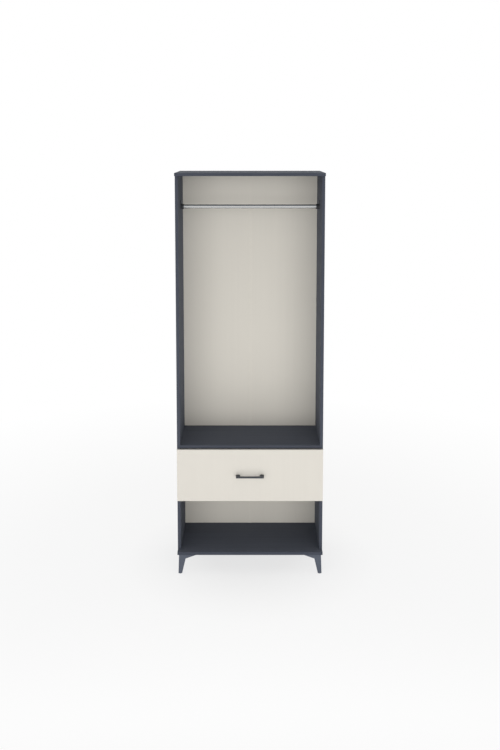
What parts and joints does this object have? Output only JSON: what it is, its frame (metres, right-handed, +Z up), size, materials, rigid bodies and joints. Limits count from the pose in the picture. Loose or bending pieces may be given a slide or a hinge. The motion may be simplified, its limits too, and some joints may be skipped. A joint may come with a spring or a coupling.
{
  "type": "open wardrobe",
  "caption": "Tall open wardrobe with a hanging rail, a pull-out drawer on ball slides, an open niche below and splayed corner legs.",
  "frame": {"origin": "on the floor, under the middle of the whole outline, handle included", "axes": "+X to the right as seen from the front, +Y to the back, +Z up; the front faces -Y"},
  "size_m": [0.78, 0.413, 2.155],
  "materials": {
    "carcass_board": "dark blue-grey melamine, fine matt grain",
    "cream_board": "cream melamine, matt",
    "cream_plastic": "matt",
    "leg_plastic": "satin moulded",
    "dark_plastic": "matt",
    "rail_chrome": "polished",
    "bracket_metal": "satin dark powder coat",
    "handle_metal": "satin dark powder coat",
    "slide_steel": "zinc plated",
    "ball_steel": "polished",
    "zinc": "die cast, plain",
    "screw_steel": "zinc plated",
    "beech": "fluted beech, plain",
    "felt": "soft"
  },
  "bodies": {
    "root": {"carcass_cam_locks": "zinc", "carcass_cam_bolts": "screw_steel", "carcass_cam_caps": "dark_plastic", "carcass_dowels": "beech", "left_side_panel": "carcass_board", "right_side_panel": "carcass_board", "top_panel": "carcass_board", "bottom_panel": "carcass_board", "lower_shelf": "carcass_board", "middle_shelf": "carcass_board", "carcass_edge_bands": "carcass_board", "back_panel_left": "cream_board", "back_panel_right": "cream_board", "back_joint_strip": "cream_plastic", "leg_front_left": "leg_plastic", "leg_glides": "dark_plastic", "leg_screws": "screw_steel", "leg_front_right": "leg_plastic", "leg_rear_left": "leg_plastic", "leg_rear_right": "leg_plastic", "rail_bracket_left": "bracket_metal", "rail_bracket_right": "bracket_metal", "rail_bracket_screws": "screw_steel", "hanging_rail": "rail_chrome", "slide_left_cabinet_member": "slide_steel", "slide_right_cabinet_member": "slide_steel", "cabinet_slide_screws": "screw_steel"},
    "drawer": {"slide_left_drawer_member": "slide_steel", "slide_right_drawer_member": "slide_steel", "drawer_slide_screws": "screw_steel", "drawer_cam_locks": "zinc", "drawer_cam_bolts": "screw_steel", "drawer_cam_caps": "cream_plastic", "drawer_dowels": "beech", "drawer_side_left": "cream_board", "drawer_side_right": "cream_board", "drawer_back": "cream_board", "drawer_bottom": "cream_board", "drawer_box_edge_bands": "cream_board", "drawer_back_screws": "screw_steel", "drawer_front": "cream_board", "drawer_front_edge_bands": "cream_board", "drawer_handle": "handle_metal", "handle_screws": "screw_steel", "drawer_bumpers": "felt"},
    "slide_left_middle": {"slide_left_middle_member": "slide_steel"},
    "slide_left_outer_cage": {"slide_left_outer_ball_cage": "slide_steel", "slide_left_outer_balls": "ball_steel"},
    "slide_left_inner_cage": {"slide_left_inner_ball_cage": "slide_steel", "slide_left_inner_balls": "ball_steel"},
    "slide_right_middle": {"slide_right_middle_member": "slide_steel"},
    "slide_right_outer_cage": {"slide_right_outer_ball_cage": "slide_steel", "slide_right_outer_balls": "ball_steel"},
    "slide_right_inner_cage": {"slide_right_inner_ball_cage": "slide_steel", "slide_right_inner_balls": "ball_steel"}
  },
  "joints": [
    {"name": "drawer_slide", "type": "slide", "parent": "root", "child": "drawer", "axis": [0, -1, 0], "range_m": [0, 0.3]},
    {"name": "slide_left_middle_slide", "type": "slide", "parent": "root", "child": "slide_left_middle", "axis": [0, -1, 0], "range_m": [0, 0.15]},
    {"name": "slide_left_outer_cage_slide", "type": "slide", "parent": "root", "child": "slide_left_outer_cage", "axis": [0, -1, 0], "range_m": [0, 0.075]},
    {"name": "slide_left_inner_cage_slide", "type": "slide", "parent": "root", "child": "slide_left_inner_cage", "axis": [0, -1, 0], "range_m": [0, 0.225]},
    {"name": "slide_right_middle_slide", "type": "slide", "parent": "root", "child": "slide_right_middle", "axis": [0, -1, 0], "range_m": [0, 0.15]},
    {"name": "slide_right_outer_cage_slide", "type": "slide", "parent": "root", "child": "slide_right_outer_cage", "axis": [0, -1, 0], "range_m": [0, 0.075]},
    {"name": "slide_right_inner_cage_slide", "type": "slide", "parent": "root", "child": "slide_right_inner_cage", "axis": [0, -1, 0], "range_m": [0, 0.225]}
  ],
  "couplings": [
    {"joint": "slide_left_middle_slide", "follows": "drawer_slide", "ratio": 0.5},
    {"joint": "slide_left_outer_cage_slide", "follows": "drawer_slide", "ratio": 0.25},
    {"joint": "slide_left_inner_cage_slide", "follows": "drawer_slide", "ratio": 0.75},
    {"joint": "slide_right_middle_slide", "follows": "drawer_slide", "ratio": 0.5},
    {"joint": "slide_right_outer_cage_slide", "follows": "drawer_slide", "ratio": 0.25},
    {"joint": "slide_right_inner_cage_slide", "follows": "drawer_slide", "ratio": 0.75}
  ]
}
